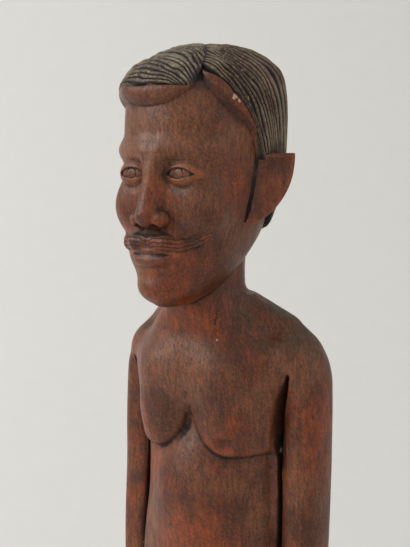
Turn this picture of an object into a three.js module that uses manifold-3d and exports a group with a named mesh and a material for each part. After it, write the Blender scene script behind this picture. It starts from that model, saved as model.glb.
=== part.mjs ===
// A standing man carved from one piece of reddish brown hardwood, on a low base of the same wood.
// The hair is combed from a side parting in fine grooves, the arms hang straight down beside the
// trunk behind narrow slits, and the legs stand on the base, all in one solid.
// Millimetres, +Z up. The figure faces -Y, its left side is at +X, and the origin is the middle of
// the underside of the base.

import * as THREE from 'three';
import { LoftGeometry } from 'three/addons/geometries/LoftGeometry.js';
import { mergeVertices } from 'three/addons/utils/BufferGeometryUtils.js';
import Module from 'manifold-3d';

// Driving dimensions
const TOTAL_HEIGHT = 400;
const HEAD_HEIGHT = 90;
const BASE_HEIGHT = 20;
const BASE_HALF_WIDTH = 46;
const BASE_HALF_DEPTH = 41;
const HAIR_RIDGES = 42;
const WOOD_COLOUR = 0x6e4232;

// Heights of the landmarks. The face is divided as in a drawing manual: the eyes are half way up
// the head, and brow, nose and chin are a third of the face apart.
const crown = TOTAL_HEIGHT;
const chin = crown - HEAD_HEIGHT;
const hairline = crown - HEAD_HEIGHT / 8;
const faceThird = (hairline - chin) / 3;
const brow = chin + 2 * faceThird;
const eyeLine = chin + HEAD_HEIGHT / 2;
const noseBase = chin + faceThird;
const mouthLine = noseBase - faceThird / 3;
const shoulder = chin - 12;
const armpit = chin - 26;
const breastFoot = chin - 54;
const elbow = chin - 66;
const waist = chin - 72;
const hip = chin - 108;
const wrist = chin - 114;
const crotch = chin - 138;
const fingertip = chin - 144;
const knee = 94;
const ankle = BASE_HEIGHT + 14;

// Sections of the trunk and limbs: height, centre x and y, half width, half depth, and squareness,
// where 2 is an ellipse and 4 nearly a rectangle.
const TRUNK = [
  [crotch - 4, 0, 3, 8, 5, 2],
  [crotch + 6, 0, 3.5, 18, 11, 2.1],
  [crotch + 18, 0, 4, 28.6, 17.6, 2.3],
  [hip, 0, 4, 31.4, 19, 2.3],
  [waist - 20, 0, 3.2, 29.6, 18.4, 2.5],
  [waist, 0, 2, 26.2, 17, 2.8],
  [breastFoot, 0, 1.6, 25.8, 16.2, 2.8],
  [breastFoot + 14, 0, 1.8, 26.8, 16.2, 2.8],
  [armpit, 0, 2.6, 29, 16.2, 2.4],
  [shoulder, 0, 1, 22, 14, 2.2],
  [chin - 2, 0, -2.2, 14.6, 13.2, 2],
  [chin + 8, 0, -3.2, 13.4, 13.2, 2],
  [chin + 30, 0, -3.2, 13.6, 14, 2],
];
const SHOULDERS = [
  [armpit - 8, 0, 6.6, 42.4, 3, 2.4],
  [armpit, 0, 7.4, 42.4, 5.5, 2.4],
  [armpit + 6, 0, 7.8, 41, 9.6, 2.4],
  [shoulder - 3, 0, 8, 38.4, 11, 2.4],
  [shoulder + 2, 0, 7.6, 34.6, 11, 2.4],
  [shoulder + 5.5, 0, 6.8, 30, 11, 2.4],
  [shoulder + 9.5, 0, 4, 23, 11, 2.2],
  [shoulder + 13.5, 0, 1, 16.4, 11, 2],
];
const ARM = [
  [fingertip, 36.6, 0, 3.2, 5.5, 2.3],
  [fingertip + 8, 36.6, 0.4, 4.8, 8.2, 2.4],
  [wrist - 15, 36.4, 1.2, 5.8, 9.2, 2.4],
  [wrist - 5, 36.2, 2, 5.8, 8, 2.4],
  [wrist + 5, 36.2, 3, 5.8, 7.6, 2.4],
  [elbow - 24, 36.1, 4.6, 6.2, 8.2, 2.7],
  [elbow, 36.4, 6, 6.4, 8.4, 2.7],
  [elbow + 14, 36.5, 6.2, 6.3, 8.4, 2.7],
  [armpit - 6, 36.2, 6.8, 6.8, 8.8, 2.6],
  [armpit, 35.4, 7.2, 7.4, 9.6, 2.4],
  [shoulder - 5, 32, 7.6, 8, 9, 2.2],
];
const LEG = [
  [BASE_HEIGHT - 3, 14.4, 4, 8.8, 10, 2.2],
  [ankle, 14.4, 4, 8, 9, 2.2],
  [ankle + 16, 14.6, 4.8, 9, 10.5, 2.2],
  [knee - 22, 15, 4.6, 11.4, 13.4, 2.3],
  [knee - 4, 15, 1.2, 10.8, 12.4, 2.4],
  [knee + 12, 15, 1.4, 11.6, 13, 2.4],
  [crotch - 26, 15, 2.4, 13.4, 15.4, 2.4],
  [crotch, 14.8, 3, 14.4, 17.2, 2.4],
  [hip - 6, 14.4, 3.4, 14.6, 18, 2.4],
];
// The foot's sections run forward from the heel: distance forward, x, height, half width, half height.
const FOOT = [
  [-16, 14.4, BASE_HEIGHT + 3, 4, 5, 2.2],
  [-11, 14.6, BASE_HEIGHT + 4, 7.6, 9, 2.2],
  [1, 15.2, BASE_HEIGHT + 4, 8.4, 11, 2.2],
  [13, 16.4, BASE_HEIGHT + 1, 9.4, 9, 2.3],
  [23, 17.4, BASE_HEIGHT - 1, 10, 7, 2.4],
  [30, 17.8, BASE_HEIGHT - 1, 8.6, 5.5, 2.4],
  [33, 17.8, BASE_HEIGHT - 1, 5.5, 3.5, 2.2],
];
const HEAD = [
  [chin, 0, -22.5, 6.5, 6.5, 2],
  [chin + 4, 0, -20, 12, 12.5, 2.1],
  [chin + 12, 0, -15.5, 17, 18.5, 2.2],
  [noseBase - 3, 0, -11, 21, 24, 2.3],
  [noseBase + 10, 0, -8, 23.4, 27.2, 2.35],
  [eyeLine + 4, 0, -6, 24.6, 29.2, 2.35],
  [brow + 12, 0, -5, 24.8, 30, 2.3],
  [hairline - 6, 0, -4.2, 24.2, 29.2, 2.3],
  [hairline, 0, -2.4, 22, 26.8, 2.3],
  [crown - 8, 0, -0.6, 18.8, 23, 2.2],
  [crown - 5, 0, 0, 14.4, 17.4, 2.1],
  [crown - 2.9, 0, 0, 8, 9.8, 2],
];

// The hair is laid out round a whorl, where the parting ends. Its edge is a height at each bearing
// round the head, in degrees from the front towards the figure's left, with the hair's thickness.
const WHORL = new THREE.Vector3(11, -19, 44);
const HEAD_CENTRE = new THREE.Vector3(0, -5, crown - 50);
const HAIR_EDGE = [
  [-180, chin + 19, 2.4],
  [-130, chin + 26, 2.4],
  [-104, brow - 12, 2.4],
  [-84, brow - 3, 2.8],
  [-64, brow + 8, 3.6],
  [-48, hairline - 9, 4.6],
  [-18, hairline - 9.5, 4.8],
  [8, hairline - 7.5, 4.4],
  [27, hairline - 3.5, 3],
  [42, hairline - 10.5, 3],
  [60, brow + 9.5, 3],
  [84, brow - 3, 2.6],
  [104, brow - 12, 2.4],
  [130, chin + 26, 2.4],
  [180, chin + 19, 2.4],
];
const HAIR_BAND = 0.085; // smooth rolled edge round the grooved part, as an angle at the head's centre
const HAIR_THICKNESS = 2.8;
const RIDGE_HEIGHT = 1.1;

// The ears stand out and back from the head. The root is how far each runs into it.
const EAR = { height: 25, width: 14, thickness: 3.4, root: 6, bearing: 48, x: 22.6, y: -8.5, top: brow - 1 };

const quarter = Math.PI / 2;
const mix = (a, b, share) => a + (b - a) * share;
const clamp = (value, low, high) => Math.min(Math.max(value, low), high);

// Values of a table's row at any height, on a smooth curve through the rows.
function rowAt(rows, at) {
  const last = rows.length - 1;
  const place = clamp(at, rows[0][0], rows[last][0]);
  const i = clamp(rows.findIndex((row) => row[0] >= place) - 1, 0, last - 1);
  const span = rows[i + 1][0] - rows[i][0];
  const t = (place - rows[i][0]) / span;
  const slope = (j, k) => {
    const before = rows[Math.max(j - 1, 0)];
    const after = rows[Math.min(j + 1, last)];
    return (after[k] - before[k]) / (after[0] - before[0]);
  };
  return rows[i].map((value, k) => {
    const rise = rows[i + 1][k] - value;
    const bend = (1 - t) * (slope(i, k) * span - rise) - t * (slope(i + 1, k) * span - rise);
    return value + t * rise + t * (1 - t) * bend;
  });
}

// Signed distances, negative inside the wood. Each is a function of x, y, z.
function limb(rows) {
  return (x, y, z) => {
    const [, cx, cy, wide, deep, square] = rowAt(rows, z);
    const dx = Math.abs(x - cx);
    const dy = Math.abs(y - cy);
    const reach = ((dx / wide) ** square + (dy / deep) ** square) ** (1 / square);
    const side = reach > 1e-6 ? Math.hypot(dx, dy) * (1 - 1 / reach) : -Math.min(wide, deep);
    const end = Math.max(rows[0][0] - z, z - rows[rows.length - 1][0]);
    return end > 0 ? Math.hypot(Math.max(side, 0), end) : side;
  };
}

function ellipsoid(cx, cy, cz, rx, ry, rz) {
  return (x, y, z) => {
    const dx = (x - cx) / rx;
    const dy = (y - cy) / ry;
    const dz = (z - cz) / rz;
    const size = Math.hypot(dx, dy, dz);
    const steepness = Math.hypot(dx / rx, dy / ry, dz / rz);
    return steepness > 0 ? (size * (size - 1)) / steepness : -Math.min(rx, ry, rz);
  };
}

// A round bar from one point to another, whose radius changes evenly.
function bar(from, to, fromRadius, toRadius) {
  const axis = to.map((value, i) => value - from[i]);
  const length2 = axis.reduce((sum, value) => sum + value * value, 0);
  return (x, y, z) => {
    const rel = [x - from[0], y - from[1], z - from[2]];
    const t = clamp(rel.reduce((sum, value, i) => sum + value * axis[i], 0) / length2, 0, 1);
    const away = Math.hypot(...rel.map((value, i) => value - t * axis[i]));
    return away - mix(fromRadius, toRadius, t);
  };
}

// Joins two distances with a fillet of the given width.
function blend(a, b, width) {
  const overlap = Math.max(width - Math.abs(a - b), 0);
  return Math.min(a, b) - (overlap * overlap) / (4 * width);
}

const carveAway = (a, b, width) => -blend(-a, b, width);

const trunkCore = limb(TRUNK);
const shoulderCore = limb(SHOULDERS);
const chest = ellipsoid(0, -5, breastFoot + 29, 19, 13.5, 17);
const breast = ellipsoid(13.2, -8.6, breastFoot + 15.5, 15.2, 11.4, 16.8);
const belly = ellipsoid(0, -4.5, waist - 2, 21, 15, 32);
const buttock = ellipsoid(13, 11.5, hip - 1, 14.5, 12.5, 17);

function trunk(x, y, z) {
  const side = Math.abs(x);
  const soften = clamp((z - breastFoot - 8) / 13, 0, 1);
  let d = blend(trunkCore(x, y, z), belly(x, y, z), 5);
  d = blend(d, buttock(side, y, z), 3);
  d = blend(d, chest(x, y, z), 7);
  return blend(d, breast(side, y, z), mix(0.6, 13, soften));
}

const armCore = limb(ARM);
const thumb = bar([35.6, -4.6, wrist - 4], [35, -8.4, wrist - 17], 3.2, 2.2);
const arm = (x, y, z) => blend(armCore(x, y, z), thumb(x, y, z), 2);
const leg = limb(LEG);

// Above the armpits the trunk runs into both arms, and below the hips into both thighs.
function torso(x, y, z) {
  const side = Math.abs(x);
  const armFillet = mix(0.5, 8, clamp((z - armpit) / 10, 0, 1));
  const legFillet = mix(0.5, 8, clamp((z - crotch) / 20, 0, 1));
  const d = blend(trunk(x, y, z), leg(side, y, z), legFillet);
  if (z < armpit) return d;
  return blend(blend(d, arm(side, y, z), armFillet), shoulderCore(x, y, z), armFillet);
}

// The face is a general one, made from the landmark heights above.
const skull = limb(HEAD);
const faceFront = -35.5;
const eyeSpacing = 10;
const browBar = bar([4, faceFront + 1.5, brow - 1], [18, faceFront + 9, brow], 3.6, 2.6);
const socket = ellipsoid(eyeSpacing, faceFront - 1.5, eyeLine - 0.5, 7.5, 5.6, 5.6);
const eyeball = ellipsoid(eyeSpacing, faceFront + 6, eyeLine - 0.5, 6.6, 4.6, 4.6);
const noseBridge = bar([0, faceFront + 1.5, eyeLine + 3], [0, faceFront - 2.6, noseBase + 4.4], 2.8, 4.2);
const noseWing = ellipsoid(5, faceFront - 0.5, noseBase + 3.4, 3.4, 4, 3.4);
const cheek = ellipsoid(14.5, faceFront + 10, noseBase + 7, 7.5, 7.5, 9);
const mouthMound = ellipsoid(0, faceFront + 5.5, mouthLine + 1, 12.5, 7.5, 9.5);
const moustache = bar([2, faceFront - 2, mouthLine + 5], [12.5, faceFront + 3.4, mouthLine + 1.6], 3, 1.5);
const lowerLip = ellipsoid(0, faceFront - 0.4, mouthLine - 2.4, 7.4, 3, 2.3);
const chinBall = ellipsoid(0, faceFront + 5.5, chin + 6, 8.5, 7, 6);

function head(x, y, z) {
  const side = Math.abs(x);
  let d = blend(skull(x, y, z), browBar(side, y, z), 3);
  d = blend(d, cheek(side, y, z), 5);
  d = blend(d, chinBall(x, y, z), 5);
  d = blend(d, mouthMound(x, y, z), 4);
  d = carveAway(d, socket(side, y, z), 2.5);
  d = blend(d, eyeball(side, y, z), 0.8);
  d = blend(d, noseBridge(x, y, z), 2.5);
  d = blend(d, noseWing(side, y, z), 1);
  d = blend(d, moustache(side, y, z), 0.8);
  return blend(d, lowerLip(x, y, z), 0.8);
}

// Distance from a point inside the wood to the surface in one direction, coming in from outside.
function castOut(field, origin, direction, reach) {
  const at = (distance) => field(...origin.clone().addScaledVector(direction, distance));
  let outside = reach;
  while (outside > 0.5 && at(outside - 0.5) > 0) outside -= 0.5;
  let inside = Math.max(outside - 0.5, 0);
  for (let i = 0; i < 12; i += 1) {
    const middle = (inside + outside) / 2;
    if (at(middle) > 0) outside = middle;
    else inside = middle;
  }
  return outside;
}

// Evenly spaced heights from low to high.
const steps = (low, high, count) =>
  Array.from({ length: count + 1 }, (_, i) => mix(low, high, i / count));

// Directions round a section, closer together at the front by the given share, and spread
// for a section whose width is the given number of times its depth.
const directionsRound = (count, frontShare = 0, widening = 1) =>
  Array.from({ length: count }, (_, i) => {
    const turn = (i / count) * 2 * Math.PI;
    const angle = turn - frontShare * Math.sin(turn);
    return new THREE.Vector3(Math.sin(angle) * widening, -Math.cos(angle), 0).normalize();
  });

// Skins a form with level rings, each centred on its table's section and cast onto the field.
// A top that is buried in another form is tucked in: one more ring above it is drawn to the centre.
function ringLoft(rows, levels, directions, field, tucked = false) {
  const ring = (level, lift, share) => {
    const [, cx, cy] = rowAt(rows, level);
    const centre = new THREE.Vector3(cx, cy, level);
    return directions.map((direction) => {
      const radius = castOut(field, centre, direction, 60);
      return centre.clone().addScaledVector(direction, radius * share).setZ(level + lift);
    });
  };
  const sections = levels.map((level) => ring(level, 0, 1));
  if (tucked) sections.push(ring(levels.at(-1), 4, 0.6));
  return new LoftGeometry(sections, { capStart: true, capEnd: true });
}

// The hair's lowest point and thickness at a bearing round the head.
function hairEdgeAt(point) {
  const bearing = Math.atan2(point.x, HEAD_CENTRE.y - point.y);
  return rowAt(HAIR_EDGE, THREE.MathUtils.radToDeg(bearing));
}

function scalpPoint(direction) {
  const radius = castOut(skull, HEAD_CENTRE, direction, 60);
  return HEAD_CENTRE.clone().addScaledVector(direction, radius);
}

// The hair, as a dome over the scalp. Its rings run round the whorl, and every second column is a
// groove.
function hairGeometry() {
  const pole = WHORL.clone().normalize();
  const across = new THREE.Vector3(0, 0, 1).cross(pole).normalize();
  const columns = 2 * HAIR_RIDGES;
  const meridians = Array.from({ length: columns }, (_, i) => {
    const spin = (i / columns) * 2 * Math.PI;
    return across.clone().applyAxisAngle(pole, spin);
  });
  const towards = (axis, turn) => pole.clone().applyAxisAngle(axis, turn);
  const reachOf = (axis) => {
    let low = 0.02;
    let high = Math.PI * 0.9;
    for (let i = 0; i < 14; i += 1) {
      const middle = (low + high) / 2;
      const point = scalpPoint(towards(axis, middle));
      if (point.z > hairEdgeAt(point)[1]) low = middle;
      else high = middle;
    }
    return low;
  };
  const reaches = meridians.map(reachOf);
  // The share runs along the grooved part, and the band share across the rolled edge.
  const ring = (share, bandShare, ridge) =>
    meridians.map((axis, i) => {
      const turn = (reaches[i] - HAIR_BAND) * share + HAIR_BAND * Math.sin(bandShare * quarter);
      const direction = towards(axis, turn);
      const point = scalpPoint(direction);
      const thickness = mix(HAIR_THICKNESS, hairEdgeAt(point)[2], share * share);
      const lift = 1.2 * Math.cos(bandShare * quarter) - 0.2;
      const groove = i % 2 ? Math.min(ridge, 2 * turn) * RIDGE_HEIGHT : 0;
      return point.addScaledVector(direction, lift * thickness - groove);
    });
  const surface = [
    ring(0.05, 0, 0),
    ...[0.12, 0.22, 0.32, 0.42, 0.54, 0.68, 0.83, 0.98].map((share) => ring(share, 0, 1)),
    ...[0.1, 0.6, 1].map((bandShare) => ring(1, bandShare, 0)),
  ];
  const buried = surface.at(-1).map((point) => point.clone().lerp(HEAD_CENTRE, 0.6));
  return new LoftGeometry([buried, ...surface.reverse()], { capStart: true, capEnd: true });
}

// A fan shaped slab with a straight top and a curved outer edge.
function earGeometry(side) {
  const outline = new THREE.Shape();
  outline.moveTo(0, -EAR.height);
  outline.bezierCurveTo(EAR.width * 0.7, -EAR.height * 0.86, EAR.width, -EAR.height * 0.4, EAR.width, 0);
  outline.lineTo(EAR.width * 0.3, 1);
  outline.lineTo(-EAR.root, -2);
  outline.lineTo(-EAR.root, -EAR.height + 2);
  const geometry = new THREE.ExtrudeGeometry(outline, {
    depth: EAR.thickness,
    bevelEnabled: false,
    curveSegments: 6,
  });
  geometry.translate(0, 0, -EAR.thickness / 2);
  geometry.rotateX(Math.PI / 2);
  geometry.rotateZ(THREE.MathUtils.degToRad(EAR.bearing));
  geometry.translate(EAR.x, EAR.y, EAR.top);
  return side > 0 ? geometry : mirrored(geometry);
}

// The same form on the figure's other side, with its faces turned back outwards.
function mirrored(geometry) {
  const points = (geometry.index ? geometry.toNonIndexed() : geometry).getAttribute('position');
  const turned = [];
  for (let i = 0; i < points.count; i += 3) {
    for (const corner of [i, i + 2, i + 1]) {
      turned.push(-points.getX(corner), points.getY(corner), points.getZ(corner));
    }
  }
  return new THREE.BufferGeometry().setAttribute('position', new THREE.Float32BufferAttribute(turned, 3));
}

function baseGeometry() {
  const squareness = 3.2;
  const bevel = 2.5;
  const corner = (value) => Math.sign(value) * Math.abs(value) ** (2 / squareness);
  const outline = steps(0, 2 * Math.PI, 32).slice(0, -1).map(
    (angle) =>
      new THREE.Vector2(
        corner(Math.cos(angle)) * (BASE_HALF_WIDTH - bevel),
        corner(Math.sin(angle)) * (BASE_HALF_DEPTH - bevel),
      ),
  );
  const geometry = new THREE.ExtrudeGeometry(new THREE.Shape(outline), {
    depth: BASE_HEIGHT - bevel * 2,
    bevelThickness: bevel,
    bevelSize: bevel,
    bevelSegments: 2,
  });
  return geometry.translate(0, 0, bevel);
}

const wasm = await Module();
wasm.setup();

function solid(geometry) {
  const bare = new THREE.BufferGeometry();
  bare.setAttribute('position', geometry.getAttribute('position').clone());
  if (geometry.index) bare.setIndex(geometry.index.clone());
  const merged = mergeVertices(bare, 1e-4);
  return new wasm.Manifold(
    new wasm.Mesh({
      numProp: 3,
      vertProperties: new Float32Array(merged.getAttribute('position').array),
      triVerts: new Uint32Array(merged.index.array),
    }),
  );
}

function carvedFigure() {
  const trunkLevels = [...steps(crotch, breastFoot - 8, 8), ...steps(breastFoot - 3, armpit, 9)];
  const shoulderLevels = [...steps(armpit, chin + 4, 9), chin + 10, chin + 20];
  const faceLevels = [
    ...steps(chin + 0.5, mouthLine - 6, 4),
    ...steps(mouthLine - 4, noseBase + 6, 10),
    ...steps(noseBase + 9, brow + 4, 10),
    ...steps(brow + 10, hairline + 1, 2),
  ];
  const sides = [
    ringLoft(ARM, steps(fingertip, armpit + 8, 14), directionsRound(14), arm, true),
    ringLoft(LEG, steps(BASE_HEIGHT - 3, crotch + 10, 10), directionsRound(14), leg, true),
    ringLoft(FOOT, steps(-16, 33, 7), directionsRound(10), limb(FOOT)).rotateX(Math.PI / 2),
  ];
  const bodyDirections = directionsRound(36, 0, 1.7);
  let figure = solid(ringLoft(TRUNK, trunkLevels, bodyDirections, torso, true));
  figure = figure.add(solid(ringLoft(TRUNK, shoulderLevels, bodyDirections, torso)));
  figure = figure.add(solid(ringLoft(HEAD, faceLevels, directionsRound(38, 0.5), head)));
  figure = figure.add(solid(hairGeometry()));
  figure = figure.add(solid(earGeometry(1))).add(solid(earGeometry(-1)));
  for (const side of sides) {
    figure = figure.add(solid(side)).add(solid(mirrored(side)));
  }
  return figure.add(solid(baseGeometry()));
}

function toGeometry(manifold) {
  const mesh = manifold.getMesh();
  const geometry = new THREE.BufferGeometry();
  geometry.setAttribute('position', new THREE.BufferAttribute(mesh.vertProperties, 3));
  geometry.setIndex(new THREE.BufferAttribute(mesh.triVerts, 1));
  geometry.computeVertexNormals();
  return geometry;
}

const wood = new THREE.MeshStandardMaterial({ color: WOOD_COLOUR, roughness: 0.45, metalness: 0 });
const figure = new THREE.Mesh(toGeometry(carvedFigure()), wood);
figure.name = 'carved_figure';

const part = new THREE.Group();
part.add(figure);

export default part;
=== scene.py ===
"""A standing man carved from one piece of reddish brown hardwood, on a low base.

The body and the head are polygonised from the same tables and blends as the solid model, with the
finer carving added. The hair is laid out strand by strand from the parting, with a smooth rolled
band at its front edge. Tables are in millimetres and meshes in metres. +Z is up, the figure faces
-Y, and its left side is at +X.
"""

import math
from functools import partialmethod

import bpy
import numpy as np
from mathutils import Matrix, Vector


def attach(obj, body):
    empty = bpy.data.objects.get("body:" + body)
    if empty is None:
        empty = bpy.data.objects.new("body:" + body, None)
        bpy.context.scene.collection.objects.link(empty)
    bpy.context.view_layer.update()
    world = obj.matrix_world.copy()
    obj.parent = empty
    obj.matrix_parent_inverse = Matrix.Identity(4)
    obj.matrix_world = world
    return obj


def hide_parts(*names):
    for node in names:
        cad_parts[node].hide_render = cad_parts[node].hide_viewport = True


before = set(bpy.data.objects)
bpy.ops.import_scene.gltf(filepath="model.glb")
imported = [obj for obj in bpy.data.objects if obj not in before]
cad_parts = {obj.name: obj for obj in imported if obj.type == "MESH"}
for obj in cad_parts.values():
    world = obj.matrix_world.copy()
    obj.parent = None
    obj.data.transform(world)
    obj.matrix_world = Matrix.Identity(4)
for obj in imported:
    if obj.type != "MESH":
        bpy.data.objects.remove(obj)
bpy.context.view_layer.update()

METRE = 0.001

# Camera, as the photograph was taken, and the point that the lights aim at
AZIMUTH = math.radians(36)
ELEVATION = math.radians(6)
DISTANCE = 0.4
VIEW_ANGLE = math.radians(27.7)
TARGET = (0, -0.005, 0.3184)
LIT_POINT = (0, -0.005, 0.31)

# Sizes and landmark heights
CROWN = 400.0
TOP = CROWN - 0.2
HEAD_HEIGHT = 90.0
BASE_HEIGHT = 20.0
BASE_HALF_WIDTH = 46.0
BASE_HALF_DEPTH = 41.0
BASE_SQUARENESS = 3.2
BASE_BEVEL = 2.2
chin = CROWN - HEAD_HEIGHT
hairline = CROWN - HEAD_HEIGHT / 8
face_third = (hairline - chin) / 3
brow = chin + 2 * face_third
eye_line = chin + HEAD_HEIGHT / 2
nose_base = chin + face_third
mouth_line = nose_base - face_third / 3
shoulder = chin - 12
armpit = chin - 26
breast_foot = chin - 54
elbow = chin - 66
waist = chin - 72
hip = chin - 108
wrist = chin - 114
crotch = chin - 138
fingertip = chin - 144
knee = 94.0
ankle = BASE_HEIGHT + 14

# Sections of the trunk and limbs: height, centre x and y, half width, half depth, and squareness
# from 2, an ellipse, to 4, nearly a rectangle.
TRUNK = [
    [crotch - 4, 0, 3, 8, 5, 2], [crotch + 6, 0, 3.5, 18, 11, 2.1],
    [crotch + 18, 0, 4, 28.6, 17.6, 2.3], [hip, 0, 4, 31.4, 19, 2.3],
    [waist - 20, 0, 3.2, 29.8, 17.6, 2.6], [waist, 0, 2.9, 27, 15, 3],
    [breast_foot, 0, 2.6, 26.8, 14.4, 3], [breast_foot + 14, 0, 2.4, 27.4, 15, 2.9],
    [armpit, 0, 2.6, 29, 15.6, 2.5], [shoulder, 0, 1, 22, 14, 2.2],
    [chin - 2, 0, -3.2, 13, 12.4, 2], [chin + 8, 0, -4.4, 11.2, 11.4, 2],
    [chin + 30, 0, -3.8, 12.4, 13, 2],
]
SHOULDERS = [
    [armpit - 8, 0, 6.8, 40.1, 3, 2.4], [armpit, 0, 7.4, 40.1, 5.5, 2.4],
    [armpit + 5, 0, 7.8, 38.8, 9, 2.4], [shoulder - 4, 0, 8, 36.5, 10.6, 2.4],
    [shoulder + 1, 0, 7.6, 33, 11, 2.4], [shoulder + 5.5, 0, 6.4, 28.4, 11, 2.3],
    [shoulder + 9.5, 0, 4, 22, 11, 2.2], [shoulder + 13.5, 0, 1, 16, 11, 2],
]
ARM = [
    [fingertip, 36.6, 0, 1.4, 3.2, 2], [fingertip + 1.3, 36.6, 0, 3.1, 5.6, 2.2],
    [fingertip + 8, 36.6, 0.4, 4.8, 8.2, 2.4], [wrist - 15, 36.4, 1.2, 5.8, 9.2, 2.4],
    [wrist - 5, 36.2, 2, 5.8, 8, 2.4], [wrist + 5, 36.2, 3, 5.8, 7.6, 2.4],
    [elbow - 24, 36, 4.6, 6.3, 8.2, 2.9], [elbow, 35.8, 6, 6.5, 8.4, 2.9],
    [elbow + 14, 36, 6.2, 6.4, 8.4, 2.9], [armpit - 6, 35.3, 6.8, 6.8, 8.8, 2.7],
    [armpit, 34.1, 7.2, 7.3, 9.6, 2.4], [armpit + 6, 32.4, 7.4, 7, 9.4, 2.3],
    [shoulder - 2, 29.2, 7.6, 5.9, 8.4, 2.2], [shoulder + 3, 25.6, 7.4, 2.4, 3.4, 2],
]
LEG = [
    [BASE_HEIGHT - 3, 14.4, 4, 8.8, 10, 2.2], [ankle, 14.4, 4, 8, 9, 2.2],
    [ankle + 16, 14.6, 4.8, 9, 10.5, 2.2], [knee - 22, 15, 4.6, 11.4, 13.4, 2.3],
    [knee - 4, 15, 1.2, 10.8, 12.4, 2.4], [knee + 12, 15, 1.4, 11.6, 13, 2.4],
    [crotch - 26, 15, 2.4, 13.4, 15.4, 2.4], [crotch, 14.8, 3, 14.4, 17.2, 2.4],
    [hip - 6, 14.4, 3.4, 14.2, 17, 2.4], [hip + 6, 13.6, 3.6, 9, 11, 2.3],
]
# The gap between arm and trunk: height, middle x and half width.
SLIT = [
    [waist - 26, 30.6, 0.4], [waist - 16, 30.2, 0.6], [waist - 6, 30, 0.6],
    [breast_foot - 4, 29.6, 0.65], [breast_foot + 6, 29.8, 0.9], [armpit - 10, 31, 1.4],
    [armpit - 4, 32.9, 0.9], [armpit + 1, 34.4, 0.3],
]
# The wood that joins arm and trunk behind the gap, in sections like the limbs'.
SLIT_WOOD = [
    [waist - 30, 29.2, 3.6, 3, 4.6, 2.6], [waist, 28.6, 4, 3.4, 5, 2.6],
    [breast_foot, 28.4, 4, 3.6, 5, 2.6], [armpit - 8, 28.8, 4.2, 3.8, 5.2, 2.6],
    [armpit + 4, 29.4, 4.4, 4, 5, 2.6],
]
# The foot's sections: distance forward, x, height, half width, half height and squareness.
FOOT = [
    [-16, 14.4, BASE_HEIGHT + 3, 4, 5, 2.2], [-11, 14.6, BASE_HEIGHT + 4, 7.6, 9, 2.2],
    [1, 15.2, BASE_HEIGHT + 4, 8.4, 11, 2.2], [13, 16.4, BASE_HEIGHT + 1, 9.4, 9, 2.3],
    [23, 17.4, BASE_HEIGHT - 1, 10, 7, 2.4], [30, 17.8, BASE_HEIGHT - 1, 8.6, 5.5, 2.4],
    [33, 17.8, BASE_HEIGHT - 1, 5.5, 3.5, 2.2],
]
HEAD = [
    [chin, 0, -22.5, 6.5, 6.5, 2], [chin + 4, 0, -20, 12, 12.5, 2.1],
    [chin + 12, 0, -15.5, 17, 18.5, 2.2], [nose_base - 3, 0, -11, 21, 24, 2.3],
    [nose_base + 10, 0, -8, 23.4, 27.2, 2.35], [eye_line + 4, 0, -6, 24.6, 29.2, 2.35],
    [brow + 12, 0, -5, 24.8, 30, 2.3], [hairline - 6, 0, -4.2, 24.2, 29.2, 2.3],
    [hairline, 0, -2.4, 22, 26.8, 2.3], [CROWN - 8, 0, -0.6, 18.8, 23, 2.2],
    [CROWN - 5, 0, 0, 14.4, 17.4, 2.1], [CROWN - 2.9, 0, 0, 8, 9.8, 2],
    [CROWN - 2.6, 0, 0, 1.5, 2, 2],
]
HEAD_CENTRE = np.array([0.0, -5.0, CROWN - 50])

# The hair's edge: bearing in degrees from the front towards the figure's left, the edge's height,
# and how far the hair stands out there.
HAIR_EDGE = [
    [-180, chin + 15, 1.9], [-130, chin + 18, 1.9], [-104, brow - 13, 2.1], [-84, brow - 3, 2.8],
    [-64, brow + 8, 3.6], [-48, hairline - 9, 4.6], [-18, hairline - 9.5, 4.8],
    [8, hairline - 8, 4.4], [20, hairline - 5.5, 3.6], [30, hairline - 2.5, 3],
    [38, hairline - 3.5, 3], [48, hairline - 9.5, 3], [60, hairline - 14.5, 3], [72, brow + 8, 2.8],
    [84, brow + 2, 2.6], [104, brow - 13, 2.1], [130, chin + 18, 1.9], [180, chin + 15, 1.9],
]

# The hair's thickness on the crown, and how far up from its edge it thins to that.
CROWN_THICKNESS = 2.35
THINNING_HEIGHT = 24.0

EAR_HEIGHT = 23.2
EAR_WIDTH = 15.0
EAR_THICKNESS = 3.4
EAR_DISH = 1.3
EAR_ROOT = 6.0
EAR_BEARING = math.radians(48)
EAR_PLACE = (22.6, -8.5, brow - 1.8)


def unit(value):
    """The value held between 0 and 1."""
    return np.clip(value, 0, 1)


def row_at(rows, at):
    """The values of a table's row at any height, on a smooth curve through the rows."""
    table = np.asarray(rows, dtype=float)
    last = len(table) - 1
    padded = np.concatenate([table[:1], table, table[-1:]])
    change = padded[2:] - padded[:-2]
    slope = change / change[:, :1]
    place = np.clip(at, table[0, 0], table[last, 0])
    i = np.clip(np.searchsorted(table[:, 0], place) - 1, 0, last - 1)
    span = table[i + 1, 0] - table[i, 0]
    t = (place - table[i, 0]) / span
    values = []
    for k in range(1, table.shape[1]):
        start = table[i, k]
        rise = table[i + 1, k] - start
        turn = (1 - t) * (slope[i, k] * span - rise) - t * (slope[i + 1, k] * span - rise)
        values.append(start + t * rise + t * (1 - t) * turn)
    return values


# Signed distances, negative inside the wood. Each takes arrays x, y, z.
FAR_AWAY = 30.0
NEAR_AXIS = 1e-4


def nothing(x, y, z):
    """The distance where no form is near."""
    return np.full(np.broadcast_shapes(x.shape, y.shape, z.shape), FAR_AWAY)


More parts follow.
